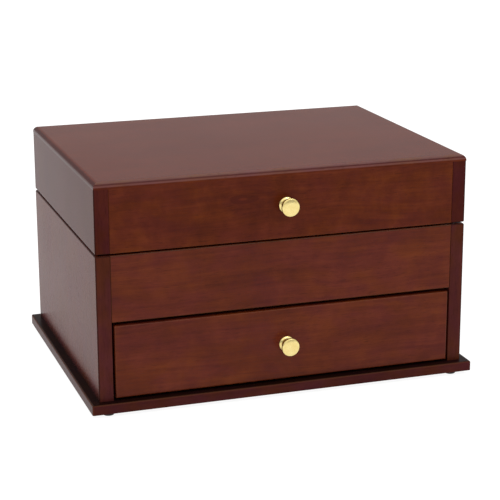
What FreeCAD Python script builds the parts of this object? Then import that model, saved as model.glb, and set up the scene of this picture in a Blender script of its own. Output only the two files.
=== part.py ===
import FreeCAD, Part
import math
import os

from FreeCAD import Vector

# A wooden jewelry box: a case on an overhanging base, a hinged lid and one drawer.
# Millimetres. +X is right, +Y is the back, +Z is up.
# The origin is on the floor, in the middle of the footprint from the drawer knob to the base's back edge.

# Case and base
CASE_WIDTH = 268.0
CASE_DEPTH = 200.0
BOARD = 10.0
FOOT_HEIGHT = 3.0
FOOT_RADIUS = 4.0
FOOT_SIDE_INSET = 12.7
FOOT_FRONT_INSET = 8.2
FOOT_EASE = 0.6
BASE_THICKNESS = 7.0
BASE_OVERHANG = 6.0
BASE_EASE = 1.2
CORNER_EASE = 1.0
JOINT_EASE = 0.5
GROOVE = 3.0

# Heights above the base's underside
SPLIT_HEIGHT = 109.6
TOP_HEIGHT = 159.0
FRONT_BOARD_HEIGHT = 62.2
SPLIT_GAP = 1.1
LID_TOP_THICKNESS = 4.5
LID_TOP_ROUND = 4.0

# Drawer
DRAWER_PROUD = 1.0
DRAWER_SIDE_GAP = 1.7
DRAWER_TOP_GAP = 2.2
DRAWER_BOTTOM_GAP = 1.8
DRAWER_EASE = 1.0
DRAWER_BOARD = 7.0
DRAWER_SIDE_HEIGHT = 47.0
DRAWER_BOX_GAP = 2.0
DRAWER_RUN_GAP = 0.2
DRAWER_BOTTOM = 3.0
DRAWER_BOTTOM_RISE = 4.0
STOP_DEPTH = 5.0
STOP_WIDTH = 22.0
STOP_HEIGHT = 12.0
STOP_SPACING = 150.0

# Compartment over the drawer
FLOOR_THICKNESS = 4.0
FLOOR_RISE = 2.0

# Velvet-covered pieces
CARD = 1.5
CARD_DROP = 2.0
DIVIDER = 3.0
TRAY_DIVIDER_HEIGHT = 27.0
DRAWER_DIVIDER_HEIGHT = 27.0
DRAWER_DIVIDER_X = 37.0
RING_SECTION_WIDTH = 86.0
RING_ROLL_COUNT = 8
RING_ROLL_HEIGHT = 19.0
RING_ROLL_ROUND = 8.5
SOFT_GAP = 0.4

# Mirror in the lid
MIRROR_THICKNESS = 3.0
MIRROR_LAP = 2.0
BORDER_WIDTH = 26.0
BORDER_THICKNESS = 5.0
BORDER_EASE = 1.5

# Knobs and their screws
KNOB_PROJECTION = 10.0
KNOB_FLANGE_RADIUS = 5.55
KNOB_FLANGE_THICKNESS = 1.0
KNOB_FLANGE_ROUND = 0.35
KNOB_FLANGE_CROWN = 0.8
KNOB_NECK_RADIUS = 3.4
KNOB_WAIST_RADIUS = 3.1
KNOB_WAIST_HEIGHT = 4.2
KNOB_FLARE_RADIUS = 4.6
KNOB_HEAD_RADIUS = 6.4
KNOB_HEAD_THICKNESS = 2.6
KNOB_HEAD_ROUND = 0.6
KNOB_BEVEL = 0.9
KNOB_DOME = 0.45
KNOB_FLAT_RADIUS = 1.5
LID_KNOB_RISE = 24.2
KNOB_SCREW_RADIUS = 2.0
KNOB_SCREW_GRIP = 5.5
KNOB_SCREW_HEAD_RADIUS = 3.7
KNOB_SCREW_HEAD_HEIGHT = 2.4
KNOB_SCREW_EASE = 0.8
KNOB_SCREW_CLEARANCE = 0.2
COUNTERBORE_RADIUS = 4.5
COUNTERBORE_DEPTH = 3.2

# Hinges
HINGE_X = 80.0
HINGE_LENGTH = 40.0
HINGE_EAR = 5.0
HINGE_LEAF_DEPTH = 8.5
HINGE_MORTISE = 2.2
KNUCKLE_COUNT = 5
KNUCKLE_RADIUS = 2.0
KNUCKLE_GAP = 0.1
KNUCKLE_NOTCH = 2.4
PIN_RADIUS = 0.8
PIN_FIT = 0.01
PIN_RUNNING_FIT = 0.05
LID_OPENING = 100.0
STOP_SPARE = 1.0
HEEL_REACH = 2.2
HEEL_UNDERCUT = 0.6
HINGE_SCREW_SPACING = 22.0
HINGE_SCREW_BACKSET = 5.4

# Countersunk screws: head radius, head height, shank radius, length
HINGE_SCREW = (1.9, 1.1, 1.0, 9.0)
BASE_SCREW = (3.5, 2.2, 1.75, 20.0)
BASE_SCREW_SPACING = 72.0
SCREW_SINK = 0.1
SCREW_FIT = 0.05
RECESS_WIDTH = 0.35
RECESS_LENGTH = 1.2
RECESS_DEPTH = 0.45

# Places that follow from the sizes above
HALF_WIDTH = CASE_WIDTH / 2
INNER_X = HALF_WIDTH - BOARD
FRONT_Y = (DRAWER_PROUD + KNOB_PROJECTION - BASE_OVERHANG - CASE_DEPTH) / 2
BACK_Y = FRONT_Y + CASE_DEPTH
INNER_FRONT_Y = FRONT_Y + BOARD
INNER_BACK_Y = BACK_Y - BOARD
MIDDLE_Y = (FRONT_Y + BACK_Y) / 2
BASE_TOP_Z = FOOT_HEIGHT + BASE_THICKNESS
SPLIT_Z = FOOT_HEIGHT + SPLIT_HEIGHT
CASE_TOP_Z = SPLIT_Z - SPLIT_GAP / 2
LID_BOTTOM_Z = SPLIT_Z + SPLIT_GAP / 2
TOP_Z = FOOT_HEIGHT + TOP_HEIGHT
LID_WALL_TOP_Z = TOP_Z - LID_TOP_THICKNESS
FRONT_BOARD_Z = FOOT_HEIGHT + FRONT_BOARD_HEIGHT
FLOOR_Z = FRONT_BOARD_Z + FLOOR_RISE
FLOOR_TOP_Z = FLOOR_Z + FLOOR_THICKNESS
LID_KNOB_Z = SPLIT_Z + LID_KNOB_RISE
DRAWER_FRONT_Y = FRONT_Y - DRAWER_PROUD
DRAWER_INNER_Y = DRAWER_FRONT_Y + BOARD
DRAWER_FRONT_Z = BASE_TOP_Z + DRAWER_BOTTOM_GAP
DRAWER_TOP_Z = FRONT_BOARD_Z - DRAWER_TOP_GAP
DRAWER_KNOB_Z = (DRAWER_FRONT_Z + DRAWER_TOP_Z) / 2
DRAWER_BOX_X = INNER_X - DRAWER_BOX_GAP
DRAWER_INNER_X = DRAWER_BOX_X - DRAWER_BOARD
DRAWER_BOX_Z = BASE_TOP_Z + DRAWER_RUN_GAP
DRAWER_BOX_TOP_Z = DRAWER_BOX_Z + DRAWER_SIDE_HEIGHT
DRAWER_END_Y = INNER_BACK_Y - STOP_DEPTH
DRAWER_BACK_Y = DRAWER_END_Y - DRAWER_BOARD
DRAWER_BOTTOM_Z = DRAWER_BOX_Z + DRAWER_BOTTOM_RISE
DRAWER_FLOOR_Z = DRAWER_BOTTOM_Z + DRAWER_BOTTOM

SIDES = (("left", -1), ("right", 1))

parts = {}


def box(x0, x1, y0, y1, z0, z1):
    """A block between two corners."""
    low = Vector(min(x0, x1), min(y0, y1), min(z0, z1))
    return Part.makeBox(abs(x1 - x0), abs(y1 - y0), abs(z1 - z0), low)


def edges_at(shape, **place):
    """The edges that lie in every plane given as x=, y= or z=."""

    def lies_in(edge):
        return all(
            abs(getattr(vertex.Point, axis) - value) < 1e-6
            for vertex in edge.Vertexes
            for axis, value in place.items()
        )

    return [edge for edge in shape.Edges if lies_in(edge)]


def eased(shape, radius, *places):
    """Rounds the edges at each place, a dictionary of two planes."""
    chosen = [edge for place in places for edge in edges_at(shape, **place)]
    return shape.makeFillet(radius, chosen)


def turned(points):
    """A solid of revolution about the Z axis from (radius, height) points, straight between them."""
    corners = [Vector(radius, 0, height) for radius, height in points]
    face = Part.Face(Part.makePolygon(corners + corners[:1]))
    return face.revolve(Vector(0, 0, 0), Vector(0, 0, 1), 360)


def cross_recess(top):
    """The cross cut into a screw head whose flat top is at the given height."""
    bars = [
        box(-RECESS_LENGTH, RECESS_LENGTH, -RECESS_WIDTH, RECESS_WIDTH, top - RECESS_DEPTH, top + 1),
        box(-RECESS_WIDTH, RECESS_WIDTH, -RECESS_LENGTH, RECESS_LENGTH, top - RECESS_DEPTH, top + 1),
    ]
    return bars[0].fuse(bars[1])


def countersunk_body(size, fit=0.0):
    """A countersunk screw without its recess, head up with its top at zero, or a hole that it fits."""
    head_radius, head_height, shank_radius, length = size
    rise = SCREW_SINK if fit else 0.0
    return turned([
        (0, rise),
        (head_radius + fit, rise),
        (head_radius + fit, 0),
        (shank_radius + fit, -head_height),
        (shank_radius + fit, -length - fit),
        (0, -length - fit),
    ])


def place_screws(size, spots, head_down):
    """Screws and the holes they need, with each head's top at a spot and pointing up or down."""
    screw = countersunk_body(size).cut(cross_recess(0))
    hole = countersunk_body(size, SCREW_FIT)
    placed = []
    for tool in (screw, hole):
        for x, y, z in spots:
            copy = tool.copy()
            if head_down:
                copy.rotate(Vector(0, 0, 0), Vector(1, 0, 0), 180)
            copy.translate(Vector(x, y, z))
            placed.append(copy)
    return placed[: len(spots)], placed[len(spots) :]


def cut_all(shape, tools):
    """The shape less every tool that reaches it."""
    for tool in tools:
        if shape.BoundBox.intersect(tool.BoundBox):
            shape = shape.cut(tool)
    return shape


def make_base():
    """The overhanging base board, its screws into the side boards and its feet."""
    x = HALF_WIDTH + BASE_OVERHANG
    y0 = FRONT_Y - BASE_OVERHANG
    y1 = BACK_Y + BASE_OVERHANG
    board = box(-x, x, y0, y1, FOOT_HEIGHT, BASE_TOP_Z)
    uprights = [{"x": sx * x, "y": y} for sx in (-1, 1) for y in (y0, y1)]
    rims = [{"z": BASE_TOP_Z, "x": sx * x} for sx in (-1, 1)]
    rims += [{"z": BASE_TOP_Z, "y": y} for y in (y0, y1)]
    board = eased(board, BASE_EASE, *uprights, *rims)

    spots = [
        (sx * (HALF_WIDTH - BOARD / 2), MIDDLE_Y + row * BASE_SCREW_SPACING, FOOT_HEIGHT + SCREW_SINK)
        for sx in (-1, 1)
        for row in (-1, 0, 1)
    ]
    screws, holes = place_screws(BASE_SCREW, spots, head_down=True)
    parts["base_plate"] = cut_all(board, holes)
    parts["base_screws"] = Part.makeCompound(screws)

    feet = []
    for sx in (-1, 1):
        for y in (y0 + FOOT_FRONT_INSET, y1 - FOOT_FRONT_INSET):
            foot = Part.makeCylinder(FOOT_RADIUS, FOOT_HEIGHT, Vector(sx * (x - FOOT_SIDE_INSET), y, 0))
            feet.append(foot.makeFillet(FOOT_EASE, edges_at(foot, z=0)))
    parts["feet"] = Part.makeCompound(feet)
    return holes


def make_case(base_holes, hinge_mortises):
    """Side, back and front boards of the case, the compartment floor and the drawer stops."""
    floor = box(
        -INNER_X - GROOVE,
        INNER_X + GROOVE,
        INNER_FRONT_Y - GROOVE,
        INNER_BACK_Y + GROOVE,
        FLOOR_Z,
        FLOOR_TOP_Z,
    )
    parts["compartment_floor"] = floor

    for name, sx in SIDES:
        x = sx * HALF_WIDTH
        board = box(sx * INNER_X, x, FRONT_Y, BACK_Y, BASE_TOP_Z, CASE_TOP_Z)
        board = eased(
            board,
            CORNER_EASE,
            {"x": x, "y": FRONT_Y},
            {"x": x, "y": BACK_Y},
            {"x": x, "z": CASE_TOP_Z},
            {"y": FRONT_Y, "z": CASE_TOP_Z},
            {"y": BACK_Y, "z": CASE_TOP_Z},
        )
        parts[name + "_side_board"] = cut_all(board, [floor, *base_holes])

    back = box(-INNER_X, INNER_X, INNER_BACK_Y, BACK_Y, BASE_TOP_Z, CASE_TOP_Z)
    back = eased(back, CORNER_EASE, {"y": BACK_Y, "z": CASE_TOP_Z})
    parts["back_board"] = cut_all(back, [floor, *hinge_mortises])

    front = box(-INNER_X, INNER_X, FRONT_Y, INNER_FRONT_Y, FRONT_BOARD_Z, CASE_TOP_Z)
    front = eased(front, CORNER_EASE, {"y": FRONT_Y, "z": CASE_TOP_Z}, {"y": FRONT_Y, "z": FRONT_BOARD_Z})
    front = front.cut(joint_bevels(FRONT_BOARD_Z, CASE_TOP_Z))
    parts["front_board"] = front.cut(floor)

    stops = []
    for _, sx in SIDES:
        x = sx * STOP_SPACING / 2
        block = box(x - STOP_WIDTH / 2, x + STOP_WIDTH / 2, DRAWER_END_Y, INNER_BACK_Y, BASE_TOP_Z,
                    BASE_TOP_Z + STOP_HEIGHT)
        stops.append(block)
    parts["drawer_stops"] = Part.makeCompound(stops)


def joint_bevels(z0, z1):
    """The small bevels along the upright edges of a front board, where it meets the side boards."""
    bevels = []
    for _, sx in SIDES:
        corners = [
            Vector(sx * INNER_X, FRONT_Y, z0),
            Vector(sx * (INNER_X - JOINT_EASE), FRONT_Y, z0),
            Vector(sx * INNER_X, FRONT_Y + JOINT_EASE, z0),
        ]
        face = Part.Face(Part.makePolygon(corners + corners[:1]))
        bevels.append(face.extrude(Vector(0, 0, z1 - z0)))
    return Part.makeCompound(bevels)


def make_lid(hinge_mortises):
    """The lid's top board and its four walls."""
    top = box(-HALF_WIDTH, HALF_WIDTH, FRONT_Y, BACK_Y, LID_WALL_TOP_Z, TOP_Z)
    rims = [{"z": TOP_Z, "x": sx * HALF_WIDTH} for sx in (-1, 1)]
    rims += [{"z": TOP_Z, "y": y} for y in (FRONT_Y, BACK_Y)]
    parts["lid_top_board"] = eased(top, LID_TOP_ROUND, *rims)

    for name, sx in SIDES:
        x = sx * HALF_WIDTH
        board = box(sx * INNER_X, x, FRONT_Y, BACK_Y, LID_BOTTOM_Z, LID_WALL_TOP_Z)
        board = eased(
            board,
            CORNER_EASE,
            {"x": x, "y": FRONT_Y},
            {"x": x, "y": BACK_Y},
            {"x": x, "z": LID_BOTTOM_Z},
            {"y": FRONT_Y, "z": LID_BOTTOM_Z},
            {"y": BACK_Y, "z": LID_BOTTOM_Z},
        )
        parts["lid_" + name + "_board"] = board

    back = box(-INNER_X, INNER_X, INNER_BACK_Y, BACK_Y, LID_BOTTOM_Z, LID_WALL_TOP_Z)
    back = eased(back, CORNER_EASE, {"y": BACK_Y, "z": LID_BOTTOM_Z})
    parts["lid_back_board"] = cut_all(back, hinge_mortises)

    front = box(-INNER_X, INNER_X, FRONT_Y, INNER_FRONT_Y, LID_BOTTOM_Z, LID_WALL_TOP_Z)
    front = eased(front, CORNER_EASE, {"y": FRONT_Y, "z": LID_BOTTOM_Z})
    front = front.cut(joint_bevels(LID_BOTTOM_Z, LID_WALL_TOP_Z))
    parts["lid_front_board"] = fit_knob("lid", front, FRONT_Y, LID_KNOB_Z)


def make_mirror():
    """The mirror under the lid's top and the padded border strips that lap over its edges."""
    z0 = LID_WALL_TOP_Z - BORDER_THICKNESS
    x = INNER_X - BORDER_WIDTH
    y0 = INNER_FRONT_Y + BORDER_WIDTH
    y1 = INNER_BACK_Y - BORDER_WIDTH
    mirror = box(
        -x - MIRROR_LAP,
        x + MIRROR_LAP,
        y0 - MIRROR_LAP,
        y1 + MIRROR_LAP,
        LID_WALL_TOP_Z - MIRROR_THICKNESS,
        LID_WALL_TOP_Z,
    )
    parts["lid_mirror"] = mirror
    strips = {
        "front": (box(-INNER_X, INNER_X, INNER_FRONT_Y, y0, z0, LID_WALL_TOP_Z), {"y": y0}),
        "back": (box(-INNER_X, INNER_X, y1, INNER_BACK_Y, z0, LID_WALL_TOP_Z), {"y": y1}),
        "left": (box(-INNER_X, -x, y0, y1, z0, LID_WALL_TOP_Z), {"x": -x}),
        "right": (box(x, INNER_X, y0, y1, z0, LID_WALL_TOP_Z), {"x": x}),
    }
    for name, (strip, inner_side) in strips.items():
        strip = eased(strip, BORDER_EASE, {"z": z0, **inner_side})
        parts["mirror_border_" + name] = strip.cut(mirror)


def knob_body():
    """A turned knob on the Z axis: a crowned flange, a flared neck, and a bevelled head with a domed face."""

    def at(radius, height):
        return Vector(radius, 0, height)

    def quarter_round(start, end, corner):
        """The arc that rounds off a square corner between start and end."""
        middle = corner + (start + end - corner * 2) * (1 - math.sqrt(0.5))
        return Part.Arc(start, middle, end)

    def crown(start, end):
        """The arc that climbs inwards from start and runs level where it ends."""
        run = start.x - end.x
        rise = end.z - start.z
        radius = (run**2 + rise**2) / (2 * rise)
        drop = radius - math.sqrt(radius**2 - run**2 / 4)
        return Part.Arc(start, at((start.x + end.x) / 2, end.z - drop), end)

    flange_foot = at(KNOB_FLANGE_RADIUS - KNOB_FLANGE_ROUND, 0)
    flange_rim = at(KNOB_FLANGE_RADIUS, KNOB_FLANGE_THICKNESS / 2)
    flange_top = at(KNOB_FLANGE_RADIUS - KNOB_FLANGE_ROUND, KNOB_FLANGE_THICKNESS)
    neck_foot = at(KNOB_NECK_RADIUS, KNOB_FLANGE_THICKNESS + KNOB_FLANGE_CROWN)
    waist = at(KNOB_WAIST_RADIUS, KNOB_WAIST_HEIGHT)
    head_back = KNOB_PROJECTION - KNOB_HEAD_THICKNESS
    flare = at(KNOB_FLARE_RADIUS, head_back)
    under_head = at(KNOB_HEAD_RADIUS - KNOB_HEAD_ROUND, head_back)
    rim_low = at(KNOB_HEAD_RADIUS, head_back + KNOB_HEAD_ROUND)
    rim_high = at(KNOB_HEAD_RADIUS, KNOB_PROJECTION - KNOB_DOME - KNOB_BEVEL)
    dome_edge = at(KNOB_HEAD_RADIUS - KNOB_BEVEL, KNOB_PROJECTION - KNOB_DOME)
    flat_edge = at(KNOB_FLAT_RADIUS, KNOB_PROJECTION)
    top = at(0, KNOB_PROJECTION)
    outline = [
        Part.LineSegment(at(0, 0), flange_foot),
        Part.Arc(flange_foot, flange_rim, flange_top),
        crown(flange_top, neck_foot),
        Part.Arc(neck_foot, waist, flare),
        Part.LineSegment(flare, under_head),
        quarter_round(under_head, rim_low, at(KNOB_HEAD_RADIUS, head_back)),
        Part.LineSegment(rim_low, rim_high),
        quarter_round(rim_high, dome_edge, at(KNOB_HEAD_RADIUS, KNOB_PROJECTION - KNOB_DOME)),
        crown(dome_edge, flat_edge),
        Part.LineSegment(flat_edge, top),
        Part.LineSegment(top, at(0, 0)),
    ]
    face = Part.Face(Part.Wire([piece.toShape() for piece in outline]))
    return face.revolve(Vector(0, 0, 0), Vector(0, 0, 1), 360)


def knob_screw():
    """A pan-head screw on the Z axis that reaches up into the knob from the back of a counterbored board."""
    seat = COUNTERBORE_DEPTH - BOARD
    end = seat - KNOB_SCREW_HEAD_HEIGHT
    head = Part.makeCylinder(KNOB_SCREW_HEAD_RADIUS, KNOB_SCREW_HEAD_HEIGHT, Vector(0, 0, end))
    head = head.makeFillet(KNOB_SCREW_EASE, edges_at(head, z=end))
    shank = Part.makeCylinder(KNOB_SCREW_RADIUS, KNOB_SCREW_GRIP - seat, Vector(0, 0, seat))
    recess = cross_recess(0)
    recess.rotate(Vector(0, 0, 0), Vector(1, 0, 0), 180)
    recess.translate(Vector(0, 0, end))
    return head.fuse(shank).removeSplitter().cut(recess)


def fit_knob(name, board, face_y, knob_z):
    """Makes a knob and its screw for a front board, and returns the board drilled for them."""
    bore = Part.makeCylinder(KNOB_SCREW_RADIUS + SCREW_FIT, KNOB_SCREW_GRIP + SCREW_FIT)
    pieces = {
        "knob": knob_body().cut(bore),
        "screw": knob_screw(),
        "hole": Part.makeCylinder(KNOB_SCREW_RADIUS + KNOB_SCREW_CLEARANCE, BOARD, Vector(0, 0, -BOARD)),
        "counterbore": Part.makeCylinder(COUNTERBORE_RADIUS, COUNTERBORE_DEPTH, Vector(0, 0, -BOARD)),
    }
    for piece in pieces.values():
        piece.rotate(Vector(0, 0, 0), Vector(1, 0, 0), 90)
        piece.translate(Vector(0, face_y, knob_z))
    parts[name + "_knob"] = pieces["knob"]
    parts[name + "_knob_screw"] = pieces["screw"]
    return board.cut(pieces["hole"]).cut(pieces["counterbore"])


def make_drawer():
    """The drawer's front, sides, back and bottom, and its knob."""
    front_x = INNER_X - DRAWER_SIDE_GAP
    bottom = box(
        -DRAWER_INNER_X - GROOVE,
        DRAWER_INNER_X + GROOVE,
        DRAWER_INNER_Y - GROOVE,
        DRAWER_BACK_Y + GROOVE,
        DRAWER_BOTTOM_Z,
        DRAWER_FLOOR_Z,
    )
    parts["drawer_bottom"] = bottom

    front = box(-front_x, front_x, DRAWER_FRONT_Y, DRAWER_INNER_Y, DRAWER_FRONT_Z, DRAWER_TOP_Z)
    front = eased(
        front,
        DRAWER_EASE,
        {"y": DRAWER_FRONT_Y, "z": DRAWER_FRONT_Z},
        {"y": DRAWER_FRONT_Y, "z": DRAWER_TOP_Z},
        {"y": DRAWER_FRONT_Y, "x": -front_x},
        {"y": DRAWER_FRONT_Y, "x": front_x},
    )
    parts["drawer_front"] = fit_knob("drawer", front.cut(bottom), DRAWER_FRONT_Y, DRAWER_KNOB_Z)

    for name, sx in SIDES:
        side = box(sx * DRAWER_INNER_X, sx * DRAWER_BOX_X, DRAWER_INNER_Y, DRAWER_END_Y, DRAWER_BOX_Z,
                   DRAWER_BOX_TOP_Z)
        side = eased(
            side,
            JOINT_EASE,
            {"z": DRAWER_BOX_TOP_Z, "x": sx * DRAWER_INNER_X},
            {"z": DRAWER_BOX_TOP_Z, "x": sx * DRAWER_BOX_X},
        )
        parts["drawer_" + name + "_side"] = side.cut(bottom)

    back = box(-DRAWER_INNER_X, DRAWER_INNER_X, DRAWER_BACK_Y, DRAWER_END_Y, DRAWER_BOX_Z, DRAWER_BOX_TOP_Z)
    back = eased(
        back,
        JOINT_EASE,
        {"z": DRAWER_BOX_TOP_Z, "y": DRAWER_BACK_Y},
        {"z": DRAWER_BOX_TOP_Z, "y": DRAWER_END_Y},
    )
    parts["drawer_back"] = back.cut(bottom)


def make_lining(name, x, y0, y1, floor_z, rim_z):
    """Velvet-covered cards on the floor and the four walls of a hollow."""
    z0 = floor_z + CARD
    z1 = rim_z - CARD_DROP
    parts[name + "_floor_pad"] = box(-x, x, y0, y1, floor_z, z0)
    parts[name + "_lining_front"] = box(-x, x, y0, y0 + CARD, z0, z1)
    parts[name + "_lining_back"] = box(-x, x, y1 - CARD, y1, z0, z1)
    parts[name + "_lining_left"] = box(-x, -x + CARD, y0 + CARD, y1 - CARD, z0, z1)
    parts[name + "_lining_right"] = box(x - CARD, x, y0 + CARD, y1 - CARD, z0, z1)


def make_tray():
    """The lined compartment over the drawer: ring rolls on the left, divided trays on the right."""
    make_lining("tray", INNER_X, INNER_FRONT_Y, INNER_BACK_Y, FLOOR_TOP_Z, CASE_TOP_Z)
    z0 = FLOOR_TOP_Z + CARD
    z1 = z0 + TRAY_DIVIDER_HEIGHT
    x0 = -INNER_X + CARD
    x1 = INNER_X - CARD
    y0 = INNER_FRONT_Y + CARD
    y1 = INNER_BACK_Y - CARD
    ring_x = x0 + RING_SECTION_WIDTH
    tray_x = ring_x + DIVIDER
    cross_y = MIDDLE_Y - DIVIDER / 2
    short_x = (tray_x + x1 - DIVIDER) / 2
    parts["tray_divider_long"] = box(ring_x, tray_x, y0, y1, z0, z1)
    parts["tray_divider_cross"] = box(tray_x, x1, cross_y, cross_y + DIVIDER, z0, z1)
    parts["tray_divider_short"] = box(short_x, short_x + DIVIDER, cross_y + DIVIDER, y1, z0, z1)

    pitch = (y1 - y0) / RING_ROLL_COUNT
    top = z0 + RING_ROLL_HEIGHT
    rolls = []
    for index in range(RING_ROLL_COUNT):
        front = y0 + index * pitch + SOFT_GAP / 2
        back = front + pitch - SOFT_GAP
        roll = box(x0 + SOFT_GAP, ring_x - SOFT_GAP, front, back, z0, top)
        rolls.append(eased(roll, RING_ROLL_ROUND, {"y": front, "z": top}, {"y": back, "z": top}))
    parts["ring_rolls"] = Part.makeCompound(rolls)


def make_drawer_lining():
    """The drawer's lining and its two dividers."""
    make_lining("drawer", DRAWER_INNER_X, DRAWER_INNER_Y, DRAWER_BACK_Y, DRAWER_FLOOR_Z, DRAWER_BOX_TOP_Z)
    z0 = DRAWER_FLOOR_Z + CARD
    for name, sx in SIDES:
        x = sx * DRAWER_DIVIDER_X
        parts["drawer_divider_" + name] = box(
            x - DIVIDER / 2,
            x + DIVIDER / 2,
            DRAWER_INNER_Y + CARD,
            DRAWER_BACK_Y - CARD,
            z0,
            z0 + DRAWER_DIVIDER_HEIGHT,
        )


def hinge_leaf(up, own_knuckles):
    """One leaf of a hinge whose pin lies on the X axis at the origin.

    up is 1 for the lid's leaf and -1 for the case's. The ears at both ends have heels behind the pin, at half
    the opening angle: the two leaves' heels meet when the lid is open and hold it there.
    """
    half = HINGE_LENGTH / 2
    barrel = half - HINGE_EAR
    inner = SPLIT_GAP / 2
    slope = math.radians((LID_OPENING + STOP_SPARE) / 2)
    heel = Vector(0, HEEL_REACH * math.cos(slope), up * HEEL_REACH * math.sin(slope))
    leaf = box(-half, half, -HINGE_LEAF_DEPTH, -KNUCKLE_NOTCH, up * inner, up * HINGE_MORTISE)
    ear_corners = [
        Vector(0, -KNUCKLE_NOTCH, up * inner),
        Vector(0, inner / math.tan(slope), up * inner),
        heel,
        Vector(0, HEEL_UNDERCUT, up * HINGE_MORTISE),
        Vector(0, -KNUCKLE_NOTCH, up * HINGE_MORTISE),
    ]
    ear_face = Part.Face(Part.makePolygon(ear_corners + ear_corners[:1]))
    for x in (-half, barrel):
        ear = ear_face.extrude(Vector(HINGE_EAR, 0, 0))
        ear.translate(Vector(x, 0, 0))
        leaf = leaf.fuse(ear)
    pitch = 2 * barrel / KNUCKLE_COUNT
    for index in own_knuckles:
        x0 = -barrel + index * pitch + KNUCKLE_GAP
        length = pitch - 2 * KNUCKLE_GAP
        arm = box(x0, x0 + length, -KNUCKLE_NOTCH, 0, up * inner, up * KNUCKLE_RADIUS)
        knuckle = Part.makeCylinder(KNUCKLE_RADIUS, length, Vector(x0, 0, 0), Vector(1, 0, 0))
        leaf = leaf.fuse(arm).fuse(knuckle)
    fit = PIN_RUNNING_FIT if up > 0 else PIN_FIT
    bore = Part.makeCylinder(PIN_RADIUS + fit, 2 * barrel, Vector(-barrel, 0, 0), Vector(1, 0, 0))
    return leaf.removeSplitter().cut(bore)


def make_hinges():
    """Two stop hinges in the back boards. Returns the mortises and screw holes of the case and of the lid."""
    cuts = {"case": [], "lid": []}
    screws = {"case": [], "lid": []}
    knuckles = {"case": range(0, KNUCKLE_COUNT, 2), "lid": range(1, KNUCKLE_COUNT, 2)}
    for name, sx in SIDES:
        centre = Vector(sx * HINGE_X, BACK_Y, SPLIT_Z)
        barrel = HINGE_LENGTH / 2 - HINGE_EAR
        pin = Part.makeCylinder(PIN_RADIUS, 2 * barrel, Vector(-barrel, 0, 0), Vector(1, 0, 0))
        pin.translate(centre)
        parts["hinge_pin_" + name] = pin
        for owner, up in (("case", -1), ("lid", 1)):
            leaf = hinge_leaf(up, knuckles[owner])
            leaf.translate(centre)
            face_z = SPLIT_Z + up * (SPLIT_GAP / 2 + SCREW_SINK)
            spots = [
                (centre.x + side * HINGE_SCREW_SPACING / 2, BACK_Y - HINGE_SCREW_BACKSET, face_z)
                for _, side in SIDES
            ]
            new_screws, holes = place_screws(HINGE_SCREW, spots, head_down=up > 0)
            parts[owner + "_hinge_leaf_" + name] = cut_all(leaf, holes)
            mortise = box(
                centre.x - HINGE_LENGTH / 2,
                centre.x + HINGE_LENGTH / 2,
                BACK_Y - HINGE_LEAF_DEPTH,
                BACK_Y + HINGE_LEAF_DEPTH,
                SPLIT_Z,
                SPLIT_Z + up * HINGE_MORTISE,
            )
            screws[owner] += new_screws
            cuts[owner] += [mortise, *holes]
    for owner, group in screws.items():
        parts[owner + "_hinge_screws"] = Part.makeCompound(group)
    return cuts["case"], cuts["lid"]


case_cuts, lid_cuts = make_hinges()
make_case(make_base(), case_cuts)
make_tray()
make_lid(lid_cuts)
make_mirror()
make_drawer()
make_drawer_lining()

os.makedirs("parts", exist_ok=True)
for node, shape in parts.items():
    shape.exportStep(f"parts/{node}.step")
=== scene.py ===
import math

import bpy
from mathutils import Matrix, Vector, noise


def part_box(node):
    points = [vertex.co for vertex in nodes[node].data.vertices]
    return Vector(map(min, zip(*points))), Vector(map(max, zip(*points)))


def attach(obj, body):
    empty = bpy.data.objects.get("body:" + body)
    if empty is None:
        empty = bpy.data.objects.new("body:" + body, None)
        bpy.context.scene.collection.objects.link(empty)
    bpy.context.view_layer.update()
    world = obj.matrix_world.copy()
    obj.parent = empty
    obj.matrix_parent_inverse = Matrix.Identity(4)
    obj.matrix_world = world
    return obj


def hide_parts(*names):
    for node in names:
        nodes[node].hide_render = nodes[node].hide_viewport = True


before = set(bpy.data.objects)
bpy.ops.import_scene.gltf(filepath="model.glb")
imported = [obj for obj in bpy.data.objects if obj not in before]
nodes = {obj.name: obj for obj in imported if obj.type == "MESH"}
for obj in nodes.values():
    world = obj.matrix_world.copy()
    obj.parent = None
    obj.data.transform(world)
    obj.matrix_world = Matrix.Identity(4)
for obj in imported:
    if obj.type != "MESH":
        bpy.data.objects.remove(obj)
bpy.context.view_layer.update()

MM = 0.001

# Axes of the frame
X, Y, Z = 0, 1, 2

# The camera, from the edges of the box in the picture, placed from the foot of the front board's middle
IMAGE_SIDE = 500
FOCAL_PIXELS = 1633.0
SENSOR = 36.0
CLIP_START = 0.01
CLIP_END = 200.0
CAMERA_PLACE = Vector((-363.40, -1014.20, 409.50)) * MM
CAMERA_TARGET = Vector((-26.26, 0.0, 107.21)) * MM
CAMERA_ROLL = math.radians(-0.183)

# The studio: a glowing floor, a strip light that faces the origin, and the sky as (sine of height, level)
FLOOR_SIDE = 80.0
FLOOR_GLOW = 0.93
STRIP_PLACE = Vector((0.45, -0.80, 1.45))
STRIP_SIZE = (0.9, 0.14)
STRIP_WATTS = 3.4
SKY = ((0.0, 0.52), (0.30, 0.55), (0.62, 1.38), (1.0, 1.26))


# Shader nodes

# The range that holds most of a noise's values
MOST = (0.3, 0.7)

# Sockets of a colour Mix node, by number because its other types have sockets of the same names
MIX_AMOUNT, MIX_FIRST, MIX_SECOND = 0, 6, 7
MIX_RESULT = 2

# How squarely a surface lies across the nearest axis on a board's flats and on its eased edges
FLAT = 0.995
EASED = 0.90


def new_material(name):
    material = bpy.data.materials.new(name)
    material.use_nodes = True
    tree = material.node_tree
    shader = next(n for n in tree.nodes if n.type == "BSDF_PRINCIPLED")
    return material, tree, shader


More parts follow.
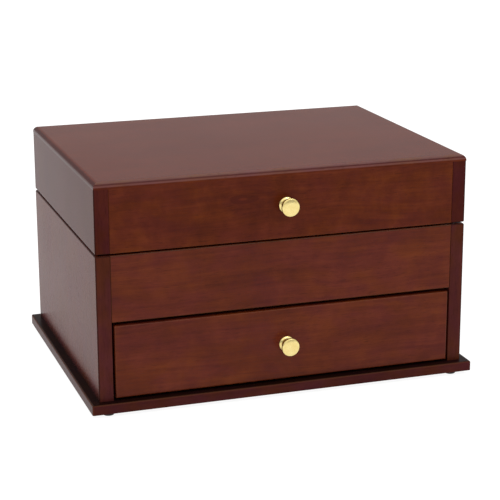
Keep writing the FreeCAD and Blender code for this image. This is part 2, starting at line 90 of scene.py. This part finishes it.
def node(tree, kind, inputs=None, **settings):
    """A new shader node. An input is another node's output or a plain value."""
    made = tree.nodes.new("ShaderNode" + kind)
    for name, value in settings.items():
        setattr(made, name, value)
    for key, value in (inputs or {}).items():
        if isinstance(value, bpy.types.NodeSocket):
            tree.links.new(value, made.inputs[key])
        else:
            made.inputs[key].default_value = value
    return made


def object_place(tree):
    return node(tree, "TexCoord").outputs["Object"]


def stretched(tree, place, scale, offset=(0, 0, 0)):
    return node(tree, "Mapping", {"Vector": place, "Scale": scale, "Location": offset}).outputs[0]


def noise_at(tree, place, detail=2.0, roughness=0.5, output="Fac"):
    inputs = {"Vector": place, "Scale": 1.0, "Detail": detail, "Roughness": roughness}
    return node(tree, "TexNoise", inputs).outputs[output]


def ranged(tree, value, low, high, to_low=0.0, to_high=1.0):
    inputs = {"Value": value, "From Min": low, "From Max": high, "To Min": to_low, "To Max": to_high}
    return node(tree, "MapRange", inputs).outputs[0]


def maths(tree, operation, first, second=0.0):
    return node(tree, "Math", {0: first, 1: second}, operation=operation).outputs[0]


def share(tree, value, amount):
    return maths(tree, "MULTIPLY", value, amount)


def vector_maths(tree, operation, inputs, output="Vector"):
    return node(tree, "VectorMath", inputs, operation=operation).outputs[output]


def ramp(tree, value, stops):
    made = node(tree, "ValToRGB", {"Fac": value})
    elements = made.color_ramp.elements
    while len(elements) < len(stops):
        elements.new(0.5)
    for element, (position, colour) in zip(elements, stops):
        element.position = position
        element.color = (*colour, 1.0)
    return made.outputs["Color"]


def blended(tree, amount, first, second, how="MIX"):
    """Two colours mixed. Each is another node's output or a plain colour."""
    def as_input(colour):
        return colour if isinstance(colour, bpy.types.NodeSocket) else (*colour, 1.0)

    inputs = {MIX_AMOUNT: amount, MIX_FIRST: as_input(first), MIX_SECOND: as_input(second)}
    return node(tree, "Mix", inputs, data_type="RGBA", blend_type=how).outputs[MIX_RESULT]


def bumped(tree, shader, height, strength, depth):
    inputs = {"Height": height, "Strength": strength, "Distance": depth}
    tree.links.new(node(tree, "Bump", inputs).outputs[0], shader.inputs["Normal"])


def facing(tree, axis):
    """How squarely the surface lies across an axis of the frame, from 0 to 1."""
    normal = node(tree, "SeparateXYZ", {0: node(tree, "TexCoord").outputs["Normal"]})
    return maths(tree, "ABSOLUTE", normal.outputs[axis])


def edge_amount(tree):
    """0 on the flats of a board and 1 on its eased edges."""
    squarest = facing(tree, X)
    for axis in (Y, Z):
        squarest = maths(tree, "MAXIMUM", squarest, facing(tree, axis))
    return ranged(tree, squarest, FLAT, EASED)


# Stained wood

# Tones of the stained wood, from the dark to the light of the figure, and of painted reflections and painted
# shade
PANEL = ((0.068, 0.0098, 0.0046), (0.094, 0.0150, 0.0056), (0.127, 0.0235, 0.0072))
LID_PANEL = ((0.063, 0.0094, 0.0034), (0.087, 0.0142, 0.0042), (0.118, 0.0222, 0.0056))
TOP = ((0.088, 0.0115, 0.0036), (0.100, 0.0140, 0.0044), (0.114, 0.0170, 0.0052))
TOP_END = ((0.042, 0.0042, 0.0028), (0.052, 0.0055, 0.0036), (0.062, 0.0072, 0.0046))
# Painted reflections on the lid top's rounded front and back edges: a pale painted sheen, a dark painted line
# and a painted highlight line
EDGE_PAINTED_SHEEN = ((0.130, 0.0590, 0.0480), (0.140, 0.0640, 0.0520), (0.150, 0.0690, 0.0560))
EDGE_PAINTED_DARK_LINE = ((0.060, 0.0120, 0.0100), (0.068, 0.0140, 0.0115), (0.076, 0.0160, 0.0130))
EDGE_PAINTED_HIGHLIGHT = ((0.124, 0.0460, 0.0370), (0.134, 0.0500, 0.0400), (0.144, 0.0540, 0.0430))
SIDE = ((0.078, 0.0135, 0.0085), (0.088, 0.0160, 0.0100), (0.098, 0.0190, 0.0120))
LID_SIDE = ((0.058, 0.0100, 0.0070), (0.066, 0.0120, 0.0080), (0.074, 0.0140, 0.0090))
LID_POST = ((0.044, 0.0078, 0.0056), (0.054, 0.0098, 0.0068), (0.066, 0.0125, 0.0085))
POST = ((0.052, 0.0115, 0.0080), (0.064, 0.0142, 0.0098), (0.078, 0.0180, 0.0125))
BASE_EDGE = ((0.042, 0.0085, 0.0072), (0.052, 0.0108, 0.0086), (0.064, 0.0140, 0.0102))
# Painted shade: near black on the base plate's top and bottom faces, standing in for the shade on the ledge
# in front of the case
BASE_TOP_PAINTED_SHADE = ((0.009, 0.0026, 0.0020), (0.012, 0.0034, 0.0026), (0.016, 0.0046, 0.0034))
PLAIN = ((0.22, 0.120, 0.060), (0.30, 0.175, 0.090), (0.38, 0.235, 0.130))
TONE_STOPS = (0.0, 0.5, 1.0)

# Layers of the figure. A density is how often the layer changes per metre, along the grain and across it.
DRIFTS = {"density": (9, 26), "detail": 1.0}
BLOTCHES = {"density": (11, 24), "detail": 3.0, "roughness": 0.55}
STREAKS = {"density": (12, 330), "detail": 4.0, "roughness": 0.65}
CURLS = {"density": (75, 60), "detail": 3.0, "roughness": 0.6}
PORES = {"density": (150, 2600), "detail": 1.0}
HUES = {"density": (34, 60), "detail": 2.0, "roughness": 0.6}
SEED_STEPS = (3.7, 1.9, 5.3)
NOISE_MIDDLE = (0.5, 0.5, 0.5)
WANDER = 12 * MM

# Weights of the blotches, streaks and curls
EVEN_FIGURE = (0.38, 0.36, 0.26)
CURLY_FIGURE = (0.24, 0.34, 0.42)

# The stretch of each layer that is spread from none to full
FIGURE_RANGE = (0.37, 0.63)
PORE_RANGE = (0.58, 0.74)
HUE_RANGE = (0.38, 0.62)

# The lacquer over it: clouds per metre, roughness and relief
CLOUDS = (14, 14, 14)
PANEL_GLOSS = (0.25, 0.30)
PORE_ROUGHNESS = 0.06
PANEL_RELIEF = 0.15
RELIEF_DEPTH = 0.05 * MM
STREAK_HEIGHT = 0.5

PORE_STAIN = 0.35
# Painted shade along the foot of the side boards: its tone and how much of it is laid on
FOOT_PAINTED_SHADE = (0.018, 0.0050, 0.0048)
FOOT_SHADE_SHARE = 0.95
WARMER = (1.01, 1.04, 0.70)
COOLER = (0.98, 0.93, 1.35)

# The small knot
KNOT_ACROSS = 7 * MM
KNOT_ALONG = 20 * MM
KNOT_RINGS = {"Scale": 0.42, "Distortion": 2.2, "Detail": 2.0, "Detail Scale": 1.6}
KNOT_LINES = (0.50, 0.90)
KNOT_FADE = (0.30, 1.15)
KNOT_SHARE = 0.95


def grain_noise(tree, place, grain, seed, density, **look):
    """Noise that is drawn out along the axis grain."""
    along, across = density
    scale = [across] * 3
    scale[grain] = along
    offset = [seed * step for step in SEED_STEPS]
    return noise_at(tree, stretched(tree, place, scale, offset), **look)


def wandering(tree, place, grain, seed):
    """The place moved a little to and fro, so that the grain isn't straight."""
    drift = grain_noise(tree, place, grain, seed, output="Color", **DRIFTS)
    centred = vector_maths(tree, "SUBTRACT", {0: drift, 1: NOISE_MIDDLE})
    wander = vector_maths(tree, "SCALE", {0: centred, "Scale": WANDER})
    return vector_maths(tree, "ADD", {0: place, 1: wander})


def swirl(tree, place, grain, knot):
    """The dark, curled lines of a small knot, fading out around it."""
    scale = [1 / KNOT_ACROSS] * 3
    scale[grain] = 1 / KNOT_ALONG
    near = stretched(tree, place, scale, [-k * s for k, s in zip(knot, scale)])
    distance = vector_maths(tree, "LENGTH", {0: near}, "Value")
    rings = {"Vector": near, **KNOT_RINGS}
    line = node(tree, "TexWave", rings, wave_type="RINGS", rings_direction="SPHERICAL").outputs["Fac"]
    fade = ranged(tree, distance, *KNOT_FADE, KNOT_SHARE, 0.0)
    return maths(tree, "MULTIPLY", ranged(tree, line, *KNOT_LINES), fade)


def wood(name, grain, seed, tones, ior=1.2, rough=PANEL_GLOSS, edge=None, others=(), knot=None,
         figure=EVEN_FIGURE, relief=PANEL_RELIEF, tint=1.0, foot=None):
    """Stained wood under lacquer, with its fibres along the axis grain.

    seed shifts the figure, so that no two woods have the same one. edge is a tone and its share along the
    piece's edges. others are faces with tones of their own: an axis, how squarely a face has to lie across
    it, and its tones; some of these tones are painted shade or painted reflections. knot is the place of a
    small swirl in the grain. figure is the weights of the blotches, streaks and curls. tint is the share of
    the warm and cool patches. foot is a height and how far above it the painted shade along the lower edge
    fades out.
    """
    material, tree, shader = new_material(name)
    place = object_place(tree)
    wavy = wandering(tree, place, grain, seed)
    blotch, streak, curl, pores = (
        grain_noise(tree, wavy, grain, seed, **layer) for layer in (BLOTCHES, STREAKS, CURLS, PORES))
    pore = ranged(tree, pores, *PORE_RANGE)
    tone = share(tree, blotch, figure[0])
    for part, weight in ((streak, figure[1]), (curl, figure[2])):
        tone = maths(tree, "ADD", tone, share(tree, part, weight))
    spread = ranged(tree, tone, *FIGURE_RANGE)
    if knot:
        spread = maths(tree, "SUBTRACT", spread, swirl(tree, wavy, grain, knot))

    def stain_and_painted_light(colours):
        return ramp(tree, spread, tuple(zip(TONE_STOPS, colours)))

    colour = stain_and_painted_light(tones)
    # Painted shade, darker towards the foot of the piece
    if foot:
        bottom, rise = foot
        height = node(tree, "SeparateXYZ", {0: place}).outputs[Z]
        amount = ranged(tree, height, bottom, bottom + rise, FOOT_SHADE_SHARE, 0.0)
        colour = blended(tree, amount, colour, FOOT_PAINTED_SHADE)
    # Faces with tones of their own: real tones on the posts and lid top flats, painted reflections on the lid
    # top's edges and painted shade on the base
    for across, square, face_tones in others:
        colour = blended(tree, ranged(tree, facing(tree, across), *square), colour, stain_and_painted_light(face_tones))
    hues = grain_noise(tree, place, grain, seed, **HUES)
    hue = blended(tree, ranged(tree, hues, *HUE_RANGE), WARMER, COOLER)
    colour = blended(tree, tint, colour, hue, "MULTIPLY")
    colour = blended(tree, share(tree, pore, PORE_STAIN), colour, tones[0], "MULTIPLY")
    if edge:
        edge_tone, edge_share = edge
        colour = blended(tree, share(tree, edge_amount(tree), edge_share), colour, edge_tone)
    tree.links.new(colour, shader.inputs["Base Color"])
    gloss = ranged(tree, noise_at(tree, stretched(tree, place, CLOUDS)), *MOST, *rough)
    roughness = maths(tree, "ADD", gloss, share(tree, pore, PORE_ROUGHNESS))
    tree.links.new(roughness, shader.inputs["Roughness"])
    surface = maths(tree, "SUBTRACT", share(tree, streak, STREAK_HEIGHT), pore)
    bumped(tree, shader, surface, relief, RELIEF_DEPTH)
    shader.inputs["IOR"].default_value = ior
    return material


# Metal, glass, rubber, velvet and paper. Scales are per metre, and depths are in metres.

BRASS_TONES = ((0.0, (0.78, 0.61, 0.24)), (0.5, (0.81, 0.65, 0.27)), (1.0, (0.85, 0.70, 0.31)))
BRASS_PATCHES = (260, 260, 260)
BRASS_ROUGHNESS = (0.24, 0.17)
BRASS_MARKS = (4000, 400, 400)
BRASS_RELIEF = 0.03
BRASS_DEPTH = 0.01 * MM

STEEL_TONES = ((0.2, (0.42, 0.42, 0.43)), (0.8, (0.62, 0.62, 0.62)))
STEEL_BRUSHING = (900, 900, 5000)
STEEL_ROUGHNESS = (0.24, 0.38)
STEEL_RELIEF = 0.1
STEEL_DEPTH = 0.02 * MM

MIRROR_TONES = ((0.3, (0.86, 0.89, 0.89)), (0.7, (0.92, 0.94, 0.93)))
MIRROR_SMEARS = (40, 55, 40)
SMEAR_RANGE = (0.35, 0.75)
MIRROR_ROUGHNESS = (0.015, 0.05)

RUBBER_TONES = ((0.25, (0.010, 0.008, 0.008)), (0.75, (0.026, 0.021, 0.020)))
RUBBER_SPECKS = (1500, 1500, 1500)
RUBBER_ROUGHNESS = (0.55, 0.8)
RUBBER_RELIEF = 0.3
RUBBER_DEPTH = 0.05 * MM

VELVET_TONES = ((0.0, (0.40, 0.30, 0.19)), (0.5, (0.56, 0.44, 0.30)), (1.0, (0.68, 0.56, 0.41)))
VELVET_PILE = (2600, 2600, 2600)
VELVET_NAP = (28, 40, 34)
NAP_SHARE = 0.65
PILE_SHARE = 0.35
VELVET_RANGE = (0.32, 0.68)
VELVET_ROUGHNESS = (0.75, 0.95)
VELVET_RELIEF = 0.35
VELVET_DEPTH = 0.12 * MM
VELVET_SHEEN = (1.0, 0.93, 0.82, 1.0)

PAPER_TONES = ((0.3, (0.17, 0.17, 0.17)), (0.7, (0.20, 0.20, 0.20)))
PAPER_FLECKS = (60, 60, 60)
WHITE = (1.0, 1.0, 1.0, 1.0)


def brass(name):
    """Polished brass with faint patches and fine polishing marks."""
    material, tree, shader = new_material(name)
    place = object_place(tree)
    patchy = noise_at(tree, stretched(tree, place, BRASS_PATCHES), detail=3.0)
    tree.links.new(ramp(tree, ranged(tree, patchy, *MOST), BRASS_TONES), shader.inputs["Base Color"])
    tree.links.new(ranged(tree, patchy, *MOST, *BRASS_ROUGHNESS), shader.inputs["Roughness"])
    marks = noise_at(tree, stretched(tree, place, BRASS_MARKS))
    bumped(tree, shader, marks, BRASS_RELIEF, BRASS_DEPTH)
    shader.inputs["Metallic"].default_value = 1.0
    return material


def steel(name):
    """Plated steel with fine brushing."""
    material, tree, shader = new_material(name)
    brushed = noise_at(tree, stretched(tree, object_place(tree), STEEL_BRUSHING), detail=3.0)
    tree.links.new(ramp(tree, brushed, STEEL_TONES), shader.inputs["Base Color"])
    tree.links.new(ranged(tree, brushed, *MOST, *STEEL_ROUGHNESS), shader.inputs["Roughness"])
    bumped(tree, shader, brushed, STEEL_RELIEF, STEEL_DEPTH)
    shader.inputs["Metallic"].default_value = 1.0
    return material


def mirror_glass(name):
    """A mirror with faint smears."""
    material, tree, shader = new_material(name)
    smear = noise_at(tree, stretched(tree, object_place(tree), MIRROR_SMEARS), detail=4.0)
    tree.links.new(ramp(tree, smear, MIRROR_TONES), shader.inputs["Base Color"])
    tree.links.new(ranged(tree, smear, *SMEAR_RANGE, *MIRROR_ROUGHNESS), shader.inputs["Roughness"])
    shader.inputs["Metallic"].default_value = 1.0
    return material


def rubber(name):
    """Dark, matte rubber with fine specks."""
    material, tree, shader = new_material(name)
    speck = noise_at(tree, stretched(tree, object_place(tree), RUBBER_SPECKS), detail=3.0)
    tree.links.new(ramp(tree, speck, RUBBER_TONES), shader.inputs["Base Color"])
    tree.links.new(ranged(tree, speck, *MOST, *RUBBER_ROUGHNESS), shader.inputs["Roughness"])
    bumped(tree, shader, speck, RUBBER_RELIEF, RUBBER_DEPTH)
    return material


def velvet(name):
    """Short-pile velvet: fine pile, patches where the nap is brushed another way, and sheen."""
    material, tree, shader = new_material(name)
    place = object_place(tree)
    pile = noise_at(tree, stretched(tree, place, VELVET_PILE))
    nap = noise_at(tree, stretched(tree, place, VELVET_NAP), detail=3.0, roughness=0.6)
    tone = maths(tree, "ADD", share(tree, nap, NAP_SHARE), share(tree, pile, PILE_SHARE))
    tree.links.new(ramp(tree, ranged(tree, tone, *VELVET_RANGE), VELVET_TONES), shader.inputs["Base Color"])
    tree.links.new(ranged(tree, pile, *MOST, *VELVET_ROUGHNESS), shader.inputs["Roughness"])
    bumped(tree, shader, pile, VELVET_RELIEF, VELVET_DEPTH)
    shader.inputs["Sheen Weight"].default_value = 0.45
    shader.inputs["Sheen Roughness"].default_value = 0.35
    shader.inputs["Sheen Tint"].default_value = VELVET_SHEEN
    shader.inputs["Specular IOR Level"].default_value = 0.2
    return material


def paper(name):
    """The pale, glowing ground."""
    material, tree, shader = new_material(name)
    fleck = noise_at(tree, stretched(tree, object_place(tree), PAPER_FLECKS), detail=4.0)
    tree.links.new(ramp(tree, fleck, PAPER_TONES), shader.inputs["Base Color"])
    shader.inputs["Roughness"].default_value = 0.9
    shader.inputs["Emission Color"].default_value = WHITE
    shader.inputs["Emission Strength"].default_value = FLOOR_GLOW
    shader.inputs["Specular IOR Level"].default_value = 0.1
    return material


def finish_with(material, *names):
    for name in names:
        slots = nodes[name].data.materials
        if len(slots):
            slots[0] = material
        else:
            slots.append(material)


# The wooden, metal, glass and rubber pieces keep their shapes

# A tone along the edges and its share
RUBBED = ((0.150, 0.048, 0.016), 0.22)
DARK_EDGE = ((0.020, 0.0060, 0.0045), 0.75)
OLIVE_EDGE = ((0.055, 0.0230, 0.0090), 0.65)
LIMED = (PLAIN[2], 0.3)

# How squarely a face lies across an axis where its own tones begin and where they are full
CORNER = (0.5, 0.8)
FLAT_TOP = (0.80, 0.95)
# Painted reflections on the lid top's rounded front and back edges: a painted sheen, a dark painted line and
# a painted highlight line, then the lid front panel's tone
FRONT_EDGE_PAINTED_REFLECTIONS = (
    (Y, (0.10, 0.30), EDGE_PAINTED_SHEEN),
    (Y, (0.66, 0.78), EDGE_PAINTED_DARK_LINE),
    (Y, (0.86, 0.92), EDGE_PAINTED_HIGHLIGHT),
    (Y, (0.975, 0.995), LID_PANEL),
)

SMOOTH = 0.06
SIDE_GLOSS = (0.16, 0.20)
LOW_GLOSS = (0.21, 0.25)
SANDED = (0.5, 0.65)
KNOT_X = -31 * MM
KNOT_RISE = 28.4 * MM
# How far above the side boards' foot the painted shade fades out
FOOT_SHADE_RISE = 8 * MM

lid_front_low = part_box("lid_front_board")[0]
knot_place = Vector((KNOT_X, lid_front_low.y, lid_front_low.z + KNOT_RISE))
# The side boards' foot, where their painted shade begins
side_foot_shade = (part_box("left_side_board")[0].z, FOOT_SHADE_RISE)

# The lid top: painted reflections on its rounded front and back edges
finish_with(wood("wood_lid_top", X, 1.0, TOP_END, ior=1.14, rough=SIDE_GLOSS, relief=SMOOTH, tint=0.4,
                 others=((Z, FLAT_TOP, TOP), *FRONT_EDGE_PAINTED_REFLECTIONS)),
            "lid_top_board")
finish_with(wood("wood_lid_front", X, 2.0, LID_PANEL, ior=1.16, edge=RUBBED, knot=knot_place,
                 figure=CURLY_FIGURE),
            "lid_front_board")
finish_with(wood("wood_front", X, 3.0, PANEL, edge=OLIVE_EDGE), "front_board")
finish_with(wood("wood_drawer_front", X, 4.0, PANEL, edge=RUBBED), "drawer_front")
finish_with(wood("wood_backs", X, 5.0, PANEL, edge=RUBBED), "back_board", "lid_back_board")
finish_with(wood("wood_lid_sides", Z, 6.0, LID_SIDE, ior=1.085, rough=SIDE_GLOSS, edge=DARK_EDGE,
                 others=[(Y, CORNER, LID_POST)], relief=SMOOTH),
            "lid_left_board", "lid_right_board")
# The side boards: painted shade along their foot
finish_with(wood("wood_sides", Z, 7.0, SIDE, ior=1.105, rough=LOW_GLOSS, edge=DARK_EDGE,
                 others=[(Y, CORNER, POST)], relief=SMOOTH, foot=side_foot_shade),
            "left_side_board", "right_side_board")
# The base plate: near-black painted shade on its top and bottom faces
finish_with(wood("wood_base", X, 8.0, BASE_EDGE, ior=1.10, edge=RUBBED, others=[(Z, CORNER, BASE_TOP_PAINTED_SHADE)]),
            "base_plate")
finish_with(wood("inner_wood", X, 9.0, PLAIN, ior=1.4, rough=SANDED, edge=LIMED),
            "compartment_floor", "drawer_stops", "drawer_bottom", "drawer_back")
finish_with(wood("inner_wood_sides", Y, 10.0, PLAIN, ior=1.4, rough=SANDED, edge=LIMED),
            "drawer_left_side", "drawer_right_side")
hinge_names = [name for name in nodes if "hinge" in name]
finish_with(brass("brass"), "lid_knob", "drawer_knob", *hinge_names)
finish_with(steel("steel_screws"), "base_screws", "lid_knob_screw", "drawer_knob_screw")
finish_with(mirror_glass("mirror_glass"), "lid_mirror")
finish_with(rubber("foot_rubber"), "feet")


# Velvet pieces

# How far the points of a rounded edge tilt, in degrees, from the middle of the edge to where the flat begins
RIM_TILTS = (45, 30, 15, 0)

# Cards wrapped in velvet: the rounding of the edges, how far the faces swell and how tight the filling is
PAD = {"edge": 0.5 * MM, "crown": 0.4 * MM, "fill": 0.5}
LINING = {"edge": 0.5 * MM, "crown": 0.35 * MM, "fill": 0.5}
DIVIDER = {"edge": 1.2 * MM, "crown": 0.3 * MM, "fill": 0.7}
BORDER = {"edge": 1.6 * MM, "crown": 1.0 * MM, "fill": 0.6}
CARD_SPACING = 6 * MM
CARD_PLATEAU = 6
UNEVENNESS = 0.25
LUMPS_PER_METRE = 45
BOTH_FACES = (-1, 1)

ROLLS = 8
ROLL_EDGE = 7.5 * MM
ROLL_SPACING = 5 * MM
ROLL_CLEARANCE = 0.1 * MM


def rounded_steps(length, edge, spacing):
    """Places along one side of a rounded block: close together in the rounded ends."""
    rim = [edge * (1 - math.tan(math.radians(tilt))) for tilt in RIM_TILTS]
    count = max(1, round((length - 2 * edge) / spacing))
    middle = [edge + (length - 2 * edge) * i / count for i in range(1, count)]
    return rim + middle + [length - r for r in reversed(rim)]


def block_faces(counts):
    """The points and quads on the surface of a lattice with these numbers of points."""
    index = {}

    def point(key):
        return index.setdefault(key, len(index))

    quads = []
    for axis in (X, Y, Z):
        first, second = (axis + 1) % 3, (axis + 2) % 3
        for side in (0, counts[axis] - 1):
            for i in range(counts[first] - 1):
                for j in range(counts[second] - 1):
                    corners = []
                    for di, dj in ((0, 0), (1, 0), (1, 1), (0, 1)):
                        key = [0, 0, 0]
                        key[axis] = side
                        key[first] = i + di
                        key[second] = j + dj
                        corners.append(point(tuple(key)))
                    quads.append(corners if side else corners[::-1])
    return list(index), quads


def rounded_block(low, high, edge, spacing):
    """A closed block from low to high with rounded edges, as (points, quads)."""
    size = high - low
    steps = [rounded_steps(size[axis], edge, spacing) for axis in (X, Y, Z)]
    keys, quads = block_faces([len(s) for s in steps])
    points = []
    for key in keys:
        spot = Vector([steps[axis][key[axis]] for axis in (X, Y, Z)])
        inner = Vector([min(max(spot[axis], edge), size[axis] - edge) for axis in (X, Y, Z)])
        points.append(low + inner + (spot - inner).normalized() * edge)
    return points, quads


def add_piece(name, points, quads, material, body, *replaced):
    mesh = bpy.data.meshes.new(name)
    mesh.from_pydata(points, [], quads)
    mesh.validate()
    for polygon in mesh.polygons:
        polygon.use_smooth = True
    mesh.materials.append(material)
    made = bpy.data.objects.new(name, mesh)
    bpy.context.scene.collection.objects.link(made)
    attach(made, body)
    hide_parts(*replaced)
    return made


def plateau(along):
    """1 over most of a side and 0 at its two ends, by the share of the way along it."""
    return 1 - abs(2 * along - 1) ** CARD_PLATEAU


def velvet_card(node_name, body, axis, faces, edge, crown, fill):
    """A card wrapped in velvet, a little fuller in the middle of the faces that show."""
    low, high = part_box(node_name)
    size = high - low
    across = [a for a in (X, Y, Z) if a != axis]
    points, quads = rounded_block(low, high, edge, CARD_SPACING)
    middle = (low[axis] + high[axis]) / 2
    for point in points:
        full = 1.0
        for a in across:
            full *= plateau((point[a] - low[a]) / size[a])
        lump = 0.5 + 0.5 * noise.noise(point * LUMPS_PER_METRE)
        sag = crown * (1 - full) + UNEVENNESS * crown * lump
        if point[axis] > middle and 1 in faces:
            point[axis] -= sag
        elif point[axis] < middle and -1 in faces:
            point[axis] += sag
    made = add_piece("soft_" + node_name, points, quads, cloth, body, node_name)


def add_ring_rolls():
    """Foam rolls side by side, full at their ends."""
    low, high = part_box("ring_rolls")
    pitch = (high.y - low.y) / ROLLS
    for number in range(ROLLS):
        start = Vector((low.x, low.y + pitch * number + ROLL_CLEARANCE, low.z))
        end = Vector((high.x, low.y + pitch * (number + 1) - ROLL_CLEARANCE, high.z))
        points, quads = rounded_block(start, end, ROLL_EDGE, ROLL_SPACING)
        roll = add_piece(f"soft_ring_roll_{number + 1}", points, quads, cloth, "case", "ring_rolls")


cloth = velvet("velvet")
velvet_card("tray_floor_pad", "case", Z, (1,), **PAD)
velvet_card("drawer_floor_pad", "drawer", Z, (1,), **PAD)
for room, body in (("tray", "case"), ("drawer", "drawer")):
    for side, axis, face in (("front", Y, 1), ("back", Y, -1), ("left", X, 1), ("right", X, -1)):
        velvet_card(f"{room}_lining_{side}", body, axis, (face,), **LINING)
velvet_card("tray_divider_long", "case", X, BOTH_FACES, **DIVIDER)
velvet_card("tray_divider_short", "case", X, BOTH_FACES, **DIVIDER)
velvet_card("tray_divider_cross", "case", Y, BOTH_FACES, **DIVIDER)
velvet_card("drawer_divider_left", "drawer", X, BOTH_FACES, **DIVIDER)
velvet_card("drawer_divider_right", "drawer", X, BOTH_FACES, **DIVIDER)
for side in ("front", "back", "left", "right"):
    velvet_card("mirror_border_" + side, "lid", Z, (-1,), **BORDER)
add_ring_rolls()


# Studio: floor, light, sky and camera

def add_floor():
    half = FLOOR_SIDE / 2
    corners = [(-half, -half, 0), (half, -half, 0), (half, half, 0), (-half, half, 0)]
    mesh = bpy.data.meshes.new("floor")
    mesh.from_pydata(corners, [], [(0, 1, 2, 3)])
    mesh.materials.append(paper("floor_paper"))
    floor = bpy.data.objects.new("floor", mesh)
    bpy.context.scene.collection.objects.link(floor)


def add_strip_light():
    light = bpy.data.lights.new("strip", "AREA")
    light.energy = STRIP_WATTS
    light.shape = "RECTANGLE"
    light.size, light.size_y = STRIP_SIZE
    made = bpy.data.objects.new("strip", light)
    made.location = STRIP_PLACE
    made.rotation_mode = "QUATERNION"
    made.rotation_quaternion = (-STRIP_PLACE).to_track_quat("-Z", "Y")
    bpy.context.scene.collection.objects.link(made)


def add_sky():
    world = bpy.data.worlds.new("studio")
    world.use_nodes = True
    tree = world.node_tree
    background = next(n for n in tree.nodes if n.type == "BACKGROUND")
    height = node(tree, "SeparateXYZ", {0: node(tree, "TexCoord").outputs["Generated"]}).outputs["Z"]
    shade = [(sine, (level,) * 3) for sine, level in SKY]
    tree.links.new(ramp(tree, height, shade), background.inputs["Color"])
    bpy.context.scene.world = world


def add_camera():
    data = bpy.data.cameras.new("camera")
    data.sensor_width = SENSOR
    data.lens = FOCAL_PIXELS * SENSOR / IMAGE_SIDE
    data.clip_start = CLIP_START
    data.clip_end = CLIP_END
    foot = Vector((0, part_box("front_board")[0].y, 0))
    forward = (CAMERA_TARGET - CAMERA_PLACE).normalized()
    level = forward.cross(Vector((0, 0, 1))).normalized()
    upright = level.cross(forward)
    right = math.cos(CAMERA_ROLL) * level + math.sin(CAMERA_ROLL) * upright
    up = math.cos(CAMERA_ROLL) * upright - math.sin(CAMERA_ROLL) * level
    turn = Matrix((right, up, -forward)).transposed().to_4x4()
    made = bpy.data.objects.new("camera", data)
    made.matrix_world = Matrix.Translation(foot + CAMERA_PLACE) @ turn
    bpy.context.scene.collection.objects.link(made)
    bpy.context.scene.camera = made


add_floor()
add_strip_light()
add_sky()
add_camera()
bpy.context.scene.view_settings.view_transform = "Standard"

bpy.context.view_layer.update()
